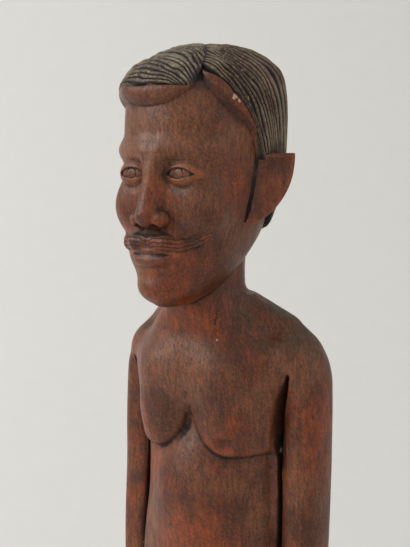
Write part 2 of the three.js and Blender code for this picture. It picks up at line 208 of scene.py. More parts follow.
def section(dx, dy, wide, deep, square):
    """Distance from a superellipse, measured towards its middle."""
    reach = ((dx / wide) ** square + (dy / deep) ** square) ** (1 / square)
    outside = np.hypot(dx, dy) * (1 - 1 / np.maximum(reach, NEAR_AXIS))
    return np.where(reach > NEAR_AXIS, outside, -np.minimum(wide, deep))


def both(a, b):
    """Distance from what is inside a and b alike."""
    return np.hypot(np.maximum(a, 0), np.maximum(b, 0)) + np.minimum(np.maximum(a, b), 0)


def limb(rows):
    """A form that passes smoothly through the rows' sections."""
    low, high = rows[0][0], rows[-1][0]

    def distance(x, y, z):
        cx, cy, wide, deep, square = row_at(rows, z)
        side = section(np.abs(x - cx), np.abs(y - cy), wide, deep, square)
        return both(side, np.maximum(low - z, z - high))

    return distance


def ellipsoid(cx, cy, cz, rx, ry, rz):
    """An ellipsoid from its centre and radii."""
    def distance(x, y, z):
        dx, dy, dz = (x - cx) / rx, (y - cy) / ry, (z - cz) / rz
        size = np.sqrt(dx * dx + dy * dy + dz * dz)
        steepness = np.sqrt((dx / rx) ** 2 + (dy / ry) ** 2 + (dz / rz) ** 2)
        return size * (size - 1) / np.maximum(steepness, 1e-6)

    return distance


def bar(start, end, start_radius, end_radius):
    """A round bar whose radius changes evenly."""
    axis = np.subtract(end, start)
    length2 = float(axis @ axis)

    def distance(x, y, z):
        rel = (x - start[0], y - start[1], z - start[2])
        t = unit(sum(r * a for r, a in zip(rel, axis)) / length2)
        away = np.sqrt(sum((r - t * a) ** 2 for r, a in zip(rel, axis)))
        return away - (start_radius + (end_radius - start_radius) * t)

    return distance


def bars(points, width):
    """Bars from point to point, joined with a fillet. A point is x, y, z and radius."""
    pieces = [bar(a[:3], b[:3], a[3], b[3]) for a, b in zip(points, points[1:])]

    def distance(x, y, z):
        d = pieces[0](x, y, z)
        for piece in pieces[1:]:
            d = blend(d, piece(x, y, z), width)
        return d

    return distance


def blend(a, b, width):
    """Joins two distances with a fillet of the given width."""
    overlap = np.maximum(width - np.abs(a - b), 0)
    return np.minimum(a, b) - overlap * overlap / (4 * width)


def carve(a, b, width):
    """Cuts b out of a, with an edge rounded by the given width."""
    return -blend(-a, b, width)


def ramp(value, low, high, start=0.0, end=1.0):
    """Changes evenly from start to end between low and high."""
    return start + (end - start) * unit((value - low) / (high - low))


# Body
BREAST_X = 16.5
BREAST_TOP = breast_foot + 16
BREAST_DROP = 17.0
BREAST_REACH = 26.0
CLEFT_HALF_WIDTH = 1.2
NEAR_ARM_SHIFT = 1.2
SLIT_DEPTH = 7.0
trunk_core = limb(TRUNK)
shoulder_core = limb(SHOULDERS)
slit_wood = limb(SLIT_WOOD)
arm_core = limb(ARM)
leg = limb(LEG)
foot_core = limb(FOOT)
chest = ellipsoid(0, -5, breast_foot + 29, 19, 13.5, 17)
breast = ellipsoid(12.8, -7.4, breast_foot + 16, 13, 11.2, 24)
breast_dent = bar([16, -17, breast_foot + 3.6], [23, -15.2, breast_foot + 3.4], 1.7, 1.5)
cleft = bars([
    [0.2, -16, breast_foot + 3, 0.8], [0.7, -17.4, breast_foot + 11, 1.5],
    [1.4, -18.5, breast_foot + 21, 0.5],
], 1)
cleft_cut = bars([
    [1.4, -16.6, breast_foot + 16.6, 0.3], [0.1, -14.3, breast_foot + 12.5, 0.7],
    [-0.9, -13.5, breast_foot + 9.5, 0.7], [-1.6, -13.8, breast_foot + 7, 0.7],
    [-2.8, -14.5, breast_foot + 4.8, 0.6], [-5, -15, breast_foot + 2.6, 0.5],
    [-7, -15.2, breast_foot + 1, 0.3],
], 0.5)
chest_side = bar([13, -6.5, armpit - 1], [29, 0.6, armpit + 5], 9.5, 7)
belly = ellipsoid(0, -4.5, waist - 2, 21, 15, 32)
buttock = ellipsoid(13, 11.5, hip - 1, 14.5, 12.5, 17)
navel = ellipsoid(0, -20.5, hip + 14, 1.5, 1.6, 1.9)
thumb = bar([35.6, -4.6, wrist - 4], [35, -8.4, wrist - 17], 3.2, 2.2)
toe_grooves = [
    bars([
        [x, -22, BASE_HEIGHT + 6.8, 0.3], [x + 0.4, -28, BASE_HEIGHT + 5.2, 0.5],
        [x + 0.5, -33, BASE_HEIGHT + 2.4, 0.5],
    ], 0.5)
    for x in (13.4, 16.2, 18.9, 21.6)
]


# Cuts between the fingers: height and radius along a cut, then how far each lies from the hand's
# middle, and the share of the hand's half width there.
FINGER_CUT = [
    (wrist - 10, 0.5), (wrist - 15, 0.9),
    (fingertip + 8, 1), (fingertip + 4, 1), (fingertip + 1.5, 0.8),
]
FINGER_GAPS = [(-3.8, 0.91), (0.6, 1), (5, 0.87)]
HAND_HALF_DEPTH = 9.0


def finger_groove(out, y, share):
    """A cut between two fingers, on the hand's outer side where out is 1, inner where it is -1."""
    points = []
    for z, radius in FINGER_CUT:
        cx, _, half_width, half_depth, _ = row_at(ARM, z)
        points.append([cx + out * half_width * share, y * half_depth / HAND_HALF_DEPTH, z, radius])
    return bars(points, 0.5)


finger_grooves = [
    (out, finger_groove(out, y, share)) for out in (1, -1) for y, share in FINGER_GAPS
]


def breast_slab(side, y, z):
    """A flat breast whose lower rim is cut square along a curve."""
    across = side - BREAST_X
    half_width = np.where(across < 0, BREAST_X - CLEFT_HALF_WIDTH, BREAST_REACH)
    down = np.maximum(BREAST_TOP - z, 0)
    rim = (np.hypot(across / half_width, down / BREAST_DROP) - 1) * 13
    rim = np.where(z > BREAST_TOP, np.abs(across) - half_width - (z - BREAST_TOP) * 0.8, rim)
    thickness = ramp(z, BREAST_TOP, armpit + 4, 2.7, 0.2) * ramp(y, -1, 5, 1, -3)
    slab = blend(breast(side, y, z), trunk_core(side, y, z) - thickness, 3)
    return carve(slab, -rim, 2)


def trunk(x, y, z):
    """Hips, belly and chest, with the breasts and the cleft."""
    side = np.abs(x)
    d = blend(trunk_core(x, y, z), belly(x, y, z), 5)
    d = blend(d, buttock(side, y, z), 3)
    if np.max(z) > breast_foot - 8:
        d = blend(d, chest(x, y, z), 7)
        d = blend(d, breast_slab(side, y, z), ramp(z, breast_foot + 12, breast_foot + 26, 0.5, 12))
        d = carve(d, breast_dent(x, y, z), 2.6)
        d = carve(d, cleft(x, y, z), 1)
        d = carve(d, cleft_cut(x, y, z), 0.4)
    return carve(d, navel(x, y, z), 1)


def arm(side, y, z, shift):
    """An arm with its hand, moved out by a shift and a little stouter for it."""
    side = side - shift
    stouter = 0.6 * shift
    d = blend(arm_core(side, y, z) - stouter, thumb(side, y, z), 2)
    if np.min(z) < wrist:
        for out, groove in finger_grooves:
            d = carve(d, groove(side - stouter * out, y, z), 0.6)
    return d


def base(x, y, z):
    """The low base, with a rounded edge."""
    reach = ((np.abs(x) / BASE_HALF_WIDTH) ** BASE_SQUARENESS
             + (np.abs(y) / BASE_HALF_DEPTH) ** BASE_SQUARENESS) ** (1 / BASE_SQUARENESS)
    side = np.hypot(x, y) * (1 - 1 / np.maximum(reach, 1e-3))
    level = np.abs(z - BASE_HEIGHT / 2) - BASE_HEIGHT / 2
    return both(side + BASE_BEVEL, level + BASE_BEVEL) - BASE_BEVEL


def foot(side, y, z):
    """A foot with cuts between its toes."""
    d = foot_core(side, z, -y)
    for groove in toe_grooves:
        d = carve(d, groove(side, y, z), 0.5)
    return d


def slit_field(side, y, z):
    """The narrow gap between arm and trunk, widest below the armpit and cut in from the front."""
    middle, half = row_at(SLIT, z)
    wall = np.abs(side - middle) - half
    return np.maximum(np.maximum(wall, y - SLIT_DEPTH), np.maximum(z - SLIT[-1][0], SLIT[0][0] - z))


def body(x, y, z):
    """Base, legs, trunk and arms. Forms are only asked at the heights that they reach."""
    low, high = float(np.min(z)), float(np.max(z))
    side = np.abs(x)
    d = base(x, y, z) if low < BASE_HEIGHT + 6 else nothing(x, y, z)
    if low < BASE_HEIGHT + 20:
        d = blend(d, foot(side, y, z), 0.8)
    if low < hip + 12:
        d = blend(d, leg(side, y, z), 1)
    if high > crotch - 10:
        d = np.minimum(d, upper_body(x, y, z))
    return d


def upper_body(x, y, z):
    """The trunk with the tops of the legs, and the arms parted from it by the narrow gaps."""
    low, high = float(np.min(z)), float(np.max(z))
    side = np.abs(x)
    d = trunk(x, y, z)
    if low < hip + 12:
        d = blend(d, leg(side, y, z), ramp(z, crotch, crotch + 20, 0.5, 8))
    shift = NEAR_ARM_SHIFT * unit(x / 20)
    fillet = ramp(z, armpit - 3, armpit + 9, 0.5, 4)
    d = blend(d, slit_wood(side, y, z), 3.5)
    if high > fingertip - 6 and low < shoulder + 8:
        d = blend(d, arm(side, y, z, shift), fillet)
    if high > armpit - 12:
        d = blend(d, shoulder_core(side - shift, y, z), fillet)
        d = blend(d, chest_side(side, y, z), ramp(z, armpit - 8, armpit + 4, 1.5, 5))
    if low < SLIT[-1][0] + 3 and high > SLIT[0][0] - 1:
        d = carve(d, slit_field(side, y, z), 0.5)
    return d


# Head. The face is a general one, made from the landmark heights above.
skull = limb(HEAD)
face_front = -35.5
eye_x = 10.0
eye_middle_y = face_front + 6
eye_z = eye_line - 0.5
brow_bar = bar([3, face_front + 2.2, brow - 0.5], [18, face_front + 9, brow], 3.4, 2.6)
socket = ellipsoid(eye_x, face_front - 1.5, eye_z, 7.5, 5.6, 5.6)
eyeball = ellipsoid(eye_x, eye_middle_y, eye_z, 6.6, 4.6, 4.6)
lid_shell = ellipsoid(eye_x, eye_middle_y, eye_z, 7.5, 5.5, 5.6)
nose_bridge = bars([
    [0, face_front + 3, brow - 1, 3.2], [0, face_front + 1, eye_line + 1, 2.8],
    [0, face_front - 2.5, nose_base + 4.4, 4.1],
], 2)
nose_wing = ellipsoid(4.7, face_front - 0.4, nose_base + 3.2, 3.1, 4, 3)
nostril = ellipsoid(3.5, face_front - 2, nose_base + 0.4, 1.5, 2.4, 1.5)
cheek = ellipsoid(14.5, face_front + 10, nose_base + 7, 7.5, 7.5, 9)
mouth_mound = ellipsoid(0, face_front + 5.5, mouth_line + 1, 12.5, 7.5, 9.5)
moustache = bars([
    [1.2, face_front - 1.2, mouth_line + 4.6, 2.2],
    [6, face_front - 0.4, mouth_line + 4.1, 2.7],
    [11, face_front + 2.5, mouth_line + 3.4, 2.3],
    [14.5, face_front + 5.5, mouth_line + 4.2, 1.5],
    [17.4, face_front + 8.4, mouth_line + 6.2, 0.8],
], 1.5)
# Height of the middle of the moustache's combed lines at a distance from the face's middle.
MOUSTACHE_LAY = [0, 3, 7, 11, 14.5, 18], [2.5, 3.6, 3.8, 3.2, 4.2, 6.6]
upper_lip = ellipsoid(0, face_front - 0.3, mouth_line + 1.2, 7, 2.4, 1.7)
lower_lip = ellipsoid(0, face_front - 0.2, mouth_line - 1.9, 7.8, 3, 2.6)
mouth_cut = bars([
    [0, face_front - 3.1, mouth_line, 0.2], [3, face_front - 2.7, mouth_line, 0.2],
    [6, face_front - 1.2, mouth_line + 0.1, 0.2], [10, face_front + 1.6, mouth_line + 0.3, 0.02],
], 0.3)
ear_crease = bars([
    [24.8, -8.7, brow - 1.5, 0.7], [24.3, -9.1, brow - 8, 0.8], [23.5, -9.9, brow - 14, 0.8],
    [22.5, -11, brow - 20, 0.8], [21.8, -11.9, brow - 24, 0.4],
], 0.5)
chin_ball = ellipsoid(0, face_front + 5.5, chin + 6, 8.5, 7, 6)


def ear_outer_edge(depth):
    """How far the ear reaches at a depth below its top, on a smooth fan shaped edge."""
    t = np.linspace(0, 1, 25)
    reach = EAR_WIDTH * (3 * (1 - t) ** 2 * t * 0.7 + 3 * (1 - t) * t ** 2 + t ** 3)
    down = EAR_HEIGHT * ((1 - t) ** 3 + 3 * (1 - t) ** 2 * t * 0.86 + 3 * (1 - t) * t ** 2 * 0.4)
    return np.interp(depth, down[::-1], reach[::-1])


def ear(side, y, z):
    """A fan shaped slab, a little hollow in front."""
    dx, dy = side - EAR_PLACE[0], y - EAR_PLACE[1]
    across = dx * math.cos(EAR_BEARING) + dy * math.sin(EAR_BEARING)
    through = -dx * math.sin(EAR_BEARING) + dy * math.cos(EAR_BEARING)
    top = EAR_PLACE[2] + np.interp(across, [-EAR_ROOT, EAR_WIDTH * 0.3, EAR_WIDTH], [-2, 0.8, 0.9])
    depth = np.clip(EAR_PLACE[2] - z, 0, EAR_HEIGHT - 0.3)
    outline = np.maximum((across - ear_outer_edge(depth)) * 0.9, z - top)
    outline = np.maximum(outline, EAR_PLACE[2] - EAR_HEIGHT - z)
    outline = np.maximum(outline, -EAR_ROOT - across)
    dish = unit(1 - ((across - 6) / 7.5) ** 2)
    dish = dish * unit(1 - ((depth - 11) / 12) ** 2)
    front = -through - EAR_THICKNESS / 2 + EAR_DISH * dish
    slab = np.maximum(through - EAR_THICKNESS / 2, front)
    return -blend(-outline, -slab, 1.2)


def head(x, y, z):
    """The head without its hair. Forms are only asked at the heights that they reach."""
    low = float(np.min(z))
    side = np.abs(x)
    d = skull(x, y, z)
    if low < brow + 10:
        d = blend(d, brow_bar(side, y, z), 4)
        d = blend(d, cheek(side, y, z), 5)
        d = carve(d, socket(side, y, z), 2.5)
        d = blend(d, eyeball(side, y, z), 0.4)
        away = ((side - eye_x) / 5.7) ** 2
        opening = np.maximum(z - eye_z - 2.2 * (1 - away), eye_z - 1.5 * (1 - away) - z)
        d = blend(d, carve(lid_shell(side, y, z), opening, 0.5), 0.6)
        d = blend(d, nose_bridge(x, y, z), 3.5)
        d = carve(blend(d, ear(side, y, z), 0.8), ear_crease(side, y, z), 0.7)
    if low < nose_base + 14:
        d = blend(d, chin_ball(x, y, z), 5)
        d = blend(d, mouth_mound(x, y, z), 4)
        d = blend(d, nose_wing(side, y, z), 1)
        d = carve(d, nostril(side, y, z), 0.6)
        d = blend(d, np.minimum(upper_lip(x, y, z), lower_lip(x, y, z)), 0.8)
        d = carve(d, mouth_cut(side, y, z), 0.4)
        d = blend(d, moustache(side, y, z), 0.7)
    return d


def hair_volume(x, y, z):
    """A plain stand-in for the hair, for how deep in a hollow a point of the head lies."""
    bearing = np.degrees(np.arctan2(x, HEAD_CENTRE[1] - y))
    edge, thickness = row_at(HAIR_EDGE, bearing)
    return np.maximum(skull(x, y, z) - thickness, edge - z)


def everything(x, y, z):
    """Body, head and hair together."""
    low, high = float(np.min(z)), float(np.max(z))
    d = body(x, y, z) if low < chin + 40 else nothing(x, y, z)
    if high > chin - 14:
        d = np.minimum(d, np.minimum(head(x, y, z), hair_volume(x, y, z)))
    return d


# Meshes
def at_points(field, points):
    """The field at each point, worked out in thin layers so that only the near forms are asked."""
    order = np.argsort(points[:, 2])
    values = np.empty(len(points))
    heights = points[order, 2]
    starts = np.searchsorted(heights, np.arange(heights[0] - 1, heights[-1] + 8, 6))
    for first, last in zip(starts, starts[1:]):
        if last > first:
            chosen = order[first:last]
            values[chosen] = field(*points[chosen].T)
    return values


def slope_at(field, points, step=0.12):
    """The field's unit slope at each point."""
    slope = np.stack([at_points(field, points + offset) - at_points(field, points - offset)
                      for offset in step * np.eye(3)], axis=1)
    return slope / np.maximum(np.linalg.norm(slope, axis=1, keepdims=True), 1e-9)


LEVELS_AT_ONCE = 6
MARGIN = 2.0


def sample(field, heights, sizes, middle_y, half_width, half_depth):
    """The field on a grid of levels, each with its own cell size: values, x, y and z."""
    columns = int(np.max(half_width / sizes)) + 2
    files = int(np.max(half_depth / sizes)) + 2
    u = np.arange(-columns, columns + 1) + 0.5
    v = np.arange(-files, files + 1) + 0.5
    x = sizes[:, None, None] * u
    y = middle_y + sizes[:, None, None] * v[:, None]
    z = heights[:, None, None]
    values = np.full((len(heights), len(v), len(u)), FAR_AWAY, dtype=np.float32)
    for k in range(0, len(heights), LEVELS_AT_ONCE):
        rows = slice(k, k + LEVELS_AT_ONCE)
        near_u = np.flatnonzero(np.abs(u) * sizes[rows].min() <= half_width + MARGIN)
        near_v = np.flatnonzero(np.abs(v) * sizes[rows].min() <= half_depth + MARGIN)
        across, along = slice(near_u[0], near_u[-1] + 1), slice(near_v[0], near_v[-1] + 1)
        values[rows, along, across] = field(x[rows][:, :, across], y[rows][:, along, :], z[rows])
    return values, x, y, z


def surface_points(values, x, y, z):
    """One point in each cell that the surface passes through: points, and each cell's place."""
    inside = values < 0
    corners = list(np.ndindex(2, 2, 2))
    parts = [tuple(slice(c, n - 1 + c) for c, n in zip(corner, values.shape)) for corner in corners]
    count = sum(inside[part].astype(np.int8) for part in parts)
    cells = np.nonzero((count > 0) & (count < 8))
    place, value = {}, {}
    for corner in corners:
        k, j, i = [cell + c for cell, c in zip(cells, corner)]
        place[corner] = np.stack([x[k, 0, i], y[k, j, 0], z[k, 0, 0]], axis=1)
        value[corner] = values[k, j, i].astype(float)
    total, crossings = 0, 0
    for one in corners:
        for axis in np.flatnonzero(np.equal(one, 0)):
            other = one[:axis] + (1,) + one[axis + 1:]
            crossed = (value[one] < 0) != (value[other] < 0)
            t = crossed * value[one] / np.where(crossed, value[one] - value[other], 1)
            total += crossed[:, None] * (place[one] + t[:, None] * (place[other] - place[one]))
            crossings += crossed[:, None].astype(int)
    return total / crossings, cells


def polygonise(values, x, y, z):
    """A closed mesh of quads on the zero surface of sampled values: points and faces."""
    points, cells = surface_points(values, x, y, z)
    index = np.full([n - 1 for n in values.shape], -1, dtype=np.int32)
    index[cells] = np.arange(len(points))
    faces = []
    for axis in range(3):
        inside, cell = np.moveaxis(values < 0, axis, 0), np.moveaxis(index, axis, 0)
        outward = inside[:-1, 1:-1, 1:-1]
        crossed = outward != inside[1:, 1:-1, 1:-1]
        ring = cell[:, 1:, 1:], cell[:, :-1, 1:], cell[:, :-1, :-1], cell[:, 1:, :-1]
        quads = np.stack([part[crossed] for part in ring], axis=1)
        flip = outward[crossed] ^ (axis == 1)
        quads[flip] = quads[flip][:, ::-1]
        faces.append(quads)
    return points, np.concatenate(faces)


def settle(field, points, faces, rounds=2):
    """Evens out the mesh and draws it onto the field's zero surface."""
    edges = np.concatenate([faces[:, [n, (n + 1) % 4]] for n in range(4)])
    start, end = np.concatenate([edges, edges[:, ::-1]]).T
    count = np.bincount(start)[:, None]
    for _ in range(rounds):
        total = np.stack([np.bincount(start, part[end]) for part in points.T], axis=1)
        normal = slope_at(field, points)
        move = total / count - points
        move -= normal * np.sum(move * normal, axis=1, keepdims=True)
        points = points + 0.5 * move
        points = points - normal * at_points(field, points)[:, None]
    return points


def shut_in(points, normals, away):
    """How far wood fills the space along the normals, or with away below 0, how edged it is."""
    return unit(1 - at_points(everything, points + away * normals) / away)


def add_object(name, data):
    """Puts a new object with its data in the scene."""
    added = bpy.data.objects.new(name, data)
    bpy.context.scene.collection.objects.link(added)
    return added


def mesh_object(name, points, faces, **values):
    """A smooth object from points in millimetres, groups of faces, and values at the points."""
    mesh = bpy.data.meshes.new(name)
    polygons = [polygon for group in faces for polygon in group.tolist()]
    mesh.from_pydata((points * METRE).tolist(), [], polygons)
    mesh.shade_smooth()
    for key, array in values.items():
        layer = mesh.attributes.new(key, "FLOAT", "POINT")
        layer.data.foreach_set("value", np.ravel(array).astype(np.float32))
    return add_object(name, mesh)


def carved_piece(name, field, low, high, cells, middle_y, half_width, half_depth):
    """A mesh of a field, with what the wood's finish and its painted shade need to know at each
    point.
    """
    heights = [low]
    while heights[-1] < high:
        heights.append(heights[-1] + np.interp(heights[-1], *cells))
    heights = np.array(heights)
    grid = sample(field, heights, np.interp(heights, *cells), middle_y, half_width, half_depth)
    points, faces = polygonise(*grid)
    points = settle(field, points, faces)
    normals = slope_at(field, points)
    side = np.abs(points[:, 0])
    combed = unit(1 - moustache(side, points[:, 1], points[:, 2]) / 0.5)
    # How shut in each point is sets the painted shade of the hollows; how edged it is sets the worn
    # edges
    return mesh_object(
        name, points, [faces], combed=combed, lay=points[:, 2] - np.interp(side, *MOUSTACHE_LAY),
        hollow=shut_in(points, normals, 1.2), shade=shut_in(points, normals, 4),
        edge=shut_in(points, normals, -1.4))


# Cell sizes at heights, finer where the photograph shows the carving
BODY_CELLS = [
    [0, 22, 30, 155, 166, 186, 198, 216, 300, 330],
    [1.4, 1.25, 1.5, 1.7, 1.15, 1.15, 1.45, 0.85, 0.75, 0.9],
]
HEAD_CELLS = [[300, 372, 384, 400], [0.5, 0.5, 0.8, 0.9]]
pieces = [
    carved_piece("carved_body", body, -2, chin + 34, BODY_CELLS, 0, 47.5, 43),
    carved_piece("carved_head", head, chin - 5, CROWN, HEAD_CELLS, -7, 35, 38.5),
]

# Key strands of the hair, from the head's centre: share of the way across, then four points from
# the parting to the hair's edge. The first group falls over the figure's left ear and round to the
# nape, and the second is combed across to its right side.
LEFT_STRANDS = [
    [0.00, 13.8, -20.1, 40.2, 22, -18, 35, 27, -9, 24, 27.5, -3, 10],
    [0.14, 12, -16.5, 42.5, 22, -15.5, 37.5, 27, -8, 26, 28, 0, 8],
    [0.28, 9, -12, 45, 22, -11.5, 39.5, 28, -1, 26, 27.5, 4, 4],
    [0.42, 6, -8, 47, 20.5, -7.5, 42, 27.5, 3, 28, 26.5, 9, -6],
    [0.56, 2.5, -4, 48.5, 18, -2, 44.5, 27, 9, 25, 24.5, 15, -18],
    [0.70, 0, 0, 49.3, 15, 5, 45, 22, 19, 21, 18.5, 21, -22],
    [0.85, -2, 4, 49.3, 8, 13, 45, 13, 26, 20, 10, 26, -24],
    [1.00, -3, 8, 48.8, -1, 17, 44.5, 1, 28, 20, 1, 28, -25],
]
RIGHT_STRANDS = [
    [0.00, -3, 8, 48.8, -1, 17, 44.5, 1, 28, 20, 1, 28, -25],
    [0.12, -2, 4, 49.3, -8, 12, 45.5, -12, 25, 23, -11, 25, -24],
    [0.25, 0, 0, 49.3, -8, 4, 47.5, -22, 16, 27, -21, 17, -17],
    [0.38, 4, -6, 47.8, -6, -2, 48.3, -24, 8, 33, -26, 8, -5],
    [0.50, 9.5, -12.5, 44.8, -1, -8, 47.5, -23, 1, 37, -28, 2, 5],
    [0.60, 13.6, -20, 40.4, 3, -13.5, 45.4, -20, -5, 39.5, -27.5, -2, 10],
    [0.70, 13.9, -24.2, 37.4, 2.5, -19.5, 43, -17, -12, 40.5, -26.5, -5, 15],
    [0.80, 13.2, -27, 34.9, 2.5, -25.2, 40.2, -15, -18.5, 40.4, -26, -9, 21],
    [0.90, 10.9, -28.9, 34.4, 1, -28.5, 37.7, -13.5, -24.2, 37.6, -25.5, -12.5, 26],
    [1.00, 7.5, -30.4, 34.3, -2.5, -31, 34.6, -14, -27, 34.4, -24.5, -16.5, 29.8],
]
# The smooth rolled edge of the hair, in two bands that meet at the parting: share of the way, a
# point on the upper edge, one on the lower edge, and how far it stands out.
RIGHT_BAND = [
    [0.00, 14.2, -26.4, 36.2, 13.9, -26.2, 35.4, 1.2],
    [0.10, 12.4, -28.4, 34.8, 12.2, -27.8, 33.4, 2.2],
    [0.22, 9.6, -30, 34.4, 9.6, -29.6, 31.4, 3.4],
    [0.36, 5.6, -31.2, 34.1, 5.8, -31.1, 29.6, 4.3],
    [0.52, 0, -31.6, 33.9, 0.4, -31.6, 28.4, 4.8],
    [0.66, -6, -31.2, 33.9, -5.6, -31.3, 28.6, 4.5],
    [0.78, -12, -28.8, 34.2, -12, -28.8, 29.9, 4.2],
    [0.88, -17.5, -24.5, 33.8, -18, -25, 30.3, 3.8],
    [0.95, -21.8, -20, 32.2, -22.2, -20.4, 29.2, 3],
    [1.00, -24.5, -16.5, 30, -24.5, -16.5, 28, 0.2],
]
LEFT_BAND = [
    [0.00, 14.6, -21.6, 39.6, 16, -22.6, 35.6, 1.6],
    [0.10, 17.2, -21.3, 37.8, 17.4, -22.2, 33.4, 2.6],
    [0.28, 21, -18.7, 35.4, 20.4, -19.8, 29.6, 3],
    [0.46, 24, -16, 31.6, 22.6, -16.8, 26, 3],
    [0.62, 25.6, -12.6, 28, 24.2, -12, 22.8, 2.9],
    [0.76, 26.6, -9.4, 23.6, 25, -8.4, 20, 2.7],
    [0.90, 27.1, -6, 17.6, 25.5, -2.8, 15.6, 2],
    [1.00, 27.2, -4, 13.5, 25.6, -0.5, 12.6, 0.2],
]
# Sections across a band: share of the way down and share of the height it stands out.
ROLL = [
    [-0.3, -0.3], [-0.16, 0.35], [-0.05, 0.72], [0.05, 0.86], [0.18, 0.95], [0.34, 1], [0.5, 1],
    [0.66, 0.97], [0.8, 0.9], [0.9, 0.8], [0.97, 0.66], [1.01, 0.5], [1.02, 0.34], [1, 0.18],
    [0.94, -0.05], [0.84, -0.35],
]
BEVEL = [
    [-0.3, -0.3], [-0.14, 0.5], [0, 0.88], [0.12, 1], [0.3, 1.02], [0.48, 0.97], [0.56, 0.86],
    [0.66, 0.68], [0.8, 0.46], [0.92, 0.28], [0.98, 0.12], [0.97, -0.15], [0.9, -0.4],
]


def scalp_radius(directions):
    """Distance from the head's centre to the skull in each unit direction."""
    inside, outside = np.full(len(directions), 15.0), np.full(len(directions), 65.0)
    for _ in range(22):
        middle = (inside + outside) / 2
        out = skull(*(HEAD_CENTRE + directions * middle[:, None]).T) > 0
        outside, inside = np.where(out, middle, outside), np.where(out, inside, middle)
    return outside


def scalp_at(places):
    """Unit directions of places given from the head's centre, and the skull's points there."""
    directions = places / np.linalg.norm(places, axis=-1, keepdims=True)
    flat = directions.reshape(-1, 3)
    scalp = HEAD_CENTRE + flat * scalp_radius(flat)[:, None]
    return directions, scalp.reshape(places.shape)


def raised(scalp, directions, lift):
    """Points of the scalp moved out by a lift, but not past the crown."""
    grid = scalp + directions * lift[:, :, None]
    grid[:, :, 2] = np.minimum(grid[:, :, 2], TOP)
    return grid


def hair_thickness(points):
    """The hair is thickest at its front edge and thins towards the crown."""
    bearing = np.degrees(np.arctan2(points[..., 0], HEAD_CENTRE[1] - points[..., 1]))
    edge, thickness = row_at(HAIR_EDGE, bearing)
    share = unit(1 - (points[..., 2] - edge) / THINNING_HEIGHT) ** 1.5
    return CROWN_THICKNESS + (thickness * 0.94 - CROWN_THICKNESS) * share


def along(points, t):
    """Places at shares t on smooth curves through evenly spaced points: (strands, points, 3)."""
    count = points.shape[1]
    table = np.column_stack([np.linspace(0, 1, count), np.eye(count)])
    return np.einsum("ukc,kt->utc", points, np.array(row_at(table, t)))


def wander(rng, shape, steps):
    """Smooth random values between -1 and 1 on a grid, with a new value every few steps."""
    coarse = rng.uniform(-1, 1, [max(n // step, 1) + 3 for n, step in zip(shape, steps)])
    places = [np.linspace(0, last - 2.001, n) for last, n in zip(coarse.shape, shape)]
    i, j = [place.astype(int) for place in places]
    a, b = [t * t * (3 - 2 * t) for t in (places[0] - i, places[1] - j)]
    a = a[:, None]

    def corner(di, dj):
        return coarse[np.ix_(i + di, j + dj)]

    return ((1 - a) * ((1 - b) * corner(0, 0) + b * corner(0, 1))
            + a * ((1 - b) * corner(1, 0) + b * corner(1, 1)))


def shell(name, grid, **values):
    """A closed mesh: a grid of points, a skirt into the head, and a fan to its centre."""
    rows, columns = grid.shape[:2]
    index = np.arange(rows * columns).reshape(rows, columns)
    quads = np.stack([index[:-1, :-1], index[1:, :-1], index[1:, 1:], index[:-1, 1:]], axis=-1)
    rim = np.concatenate([index[0, :-1], index[:-1, -1], index[-1, :0:-1], index[:0:-1, 0]])
    points = grid.reshape(-1, 3)
    inward = HEAD_CENTRE - points[rim]
    sunk = points[rim] + inward * (SKIRT_DEPTH / np.linalg.norm(inward, axis=1, keepdims=True))
    ring = len(points) + np.arange(len(rim))
    following = np.roll(ring, -1)
    skirt = np.stack([np.roll(rim, -1), following, ring, rim], axis=1)
    fan = np.stack([following, np.full(len(rim), len(points) + len(rim)), ring], axis=1)
    turning = np.cross(np.diff(grid, axis=0)[:, :-1], np.diff(grid, axis=1)[:-1])
    order = 1 if np.sum(turning * (grid[:-1, :-1] - HEAD_CENTRE)) > 0 else -1
    faces = [group[:, ::order] for group in (quads.reshape(-1, 4), skirt, fan)]
    spare = len(rim) + 1
    padded = {key: np.append(array, np.full(spare, array.mean())) for key, array in values.items()}
    return mesh_object(name, np.concatenate([points, sunk, [HEAD_CENTRE]]), faces, **padded)


SKIRT_DEPTH = 6.0
POINTS_PER_STRAND = 10
STRAND_ROWS = 110
STRAND_WANDER = 0.32
GOUGE_DEPTH = 0.95
SPLIT_DEPTH = 0.2
PARTING_DEPTH = 0.45
EDGE_ROLL = 2.6
SUNK_EDGE = 0.25


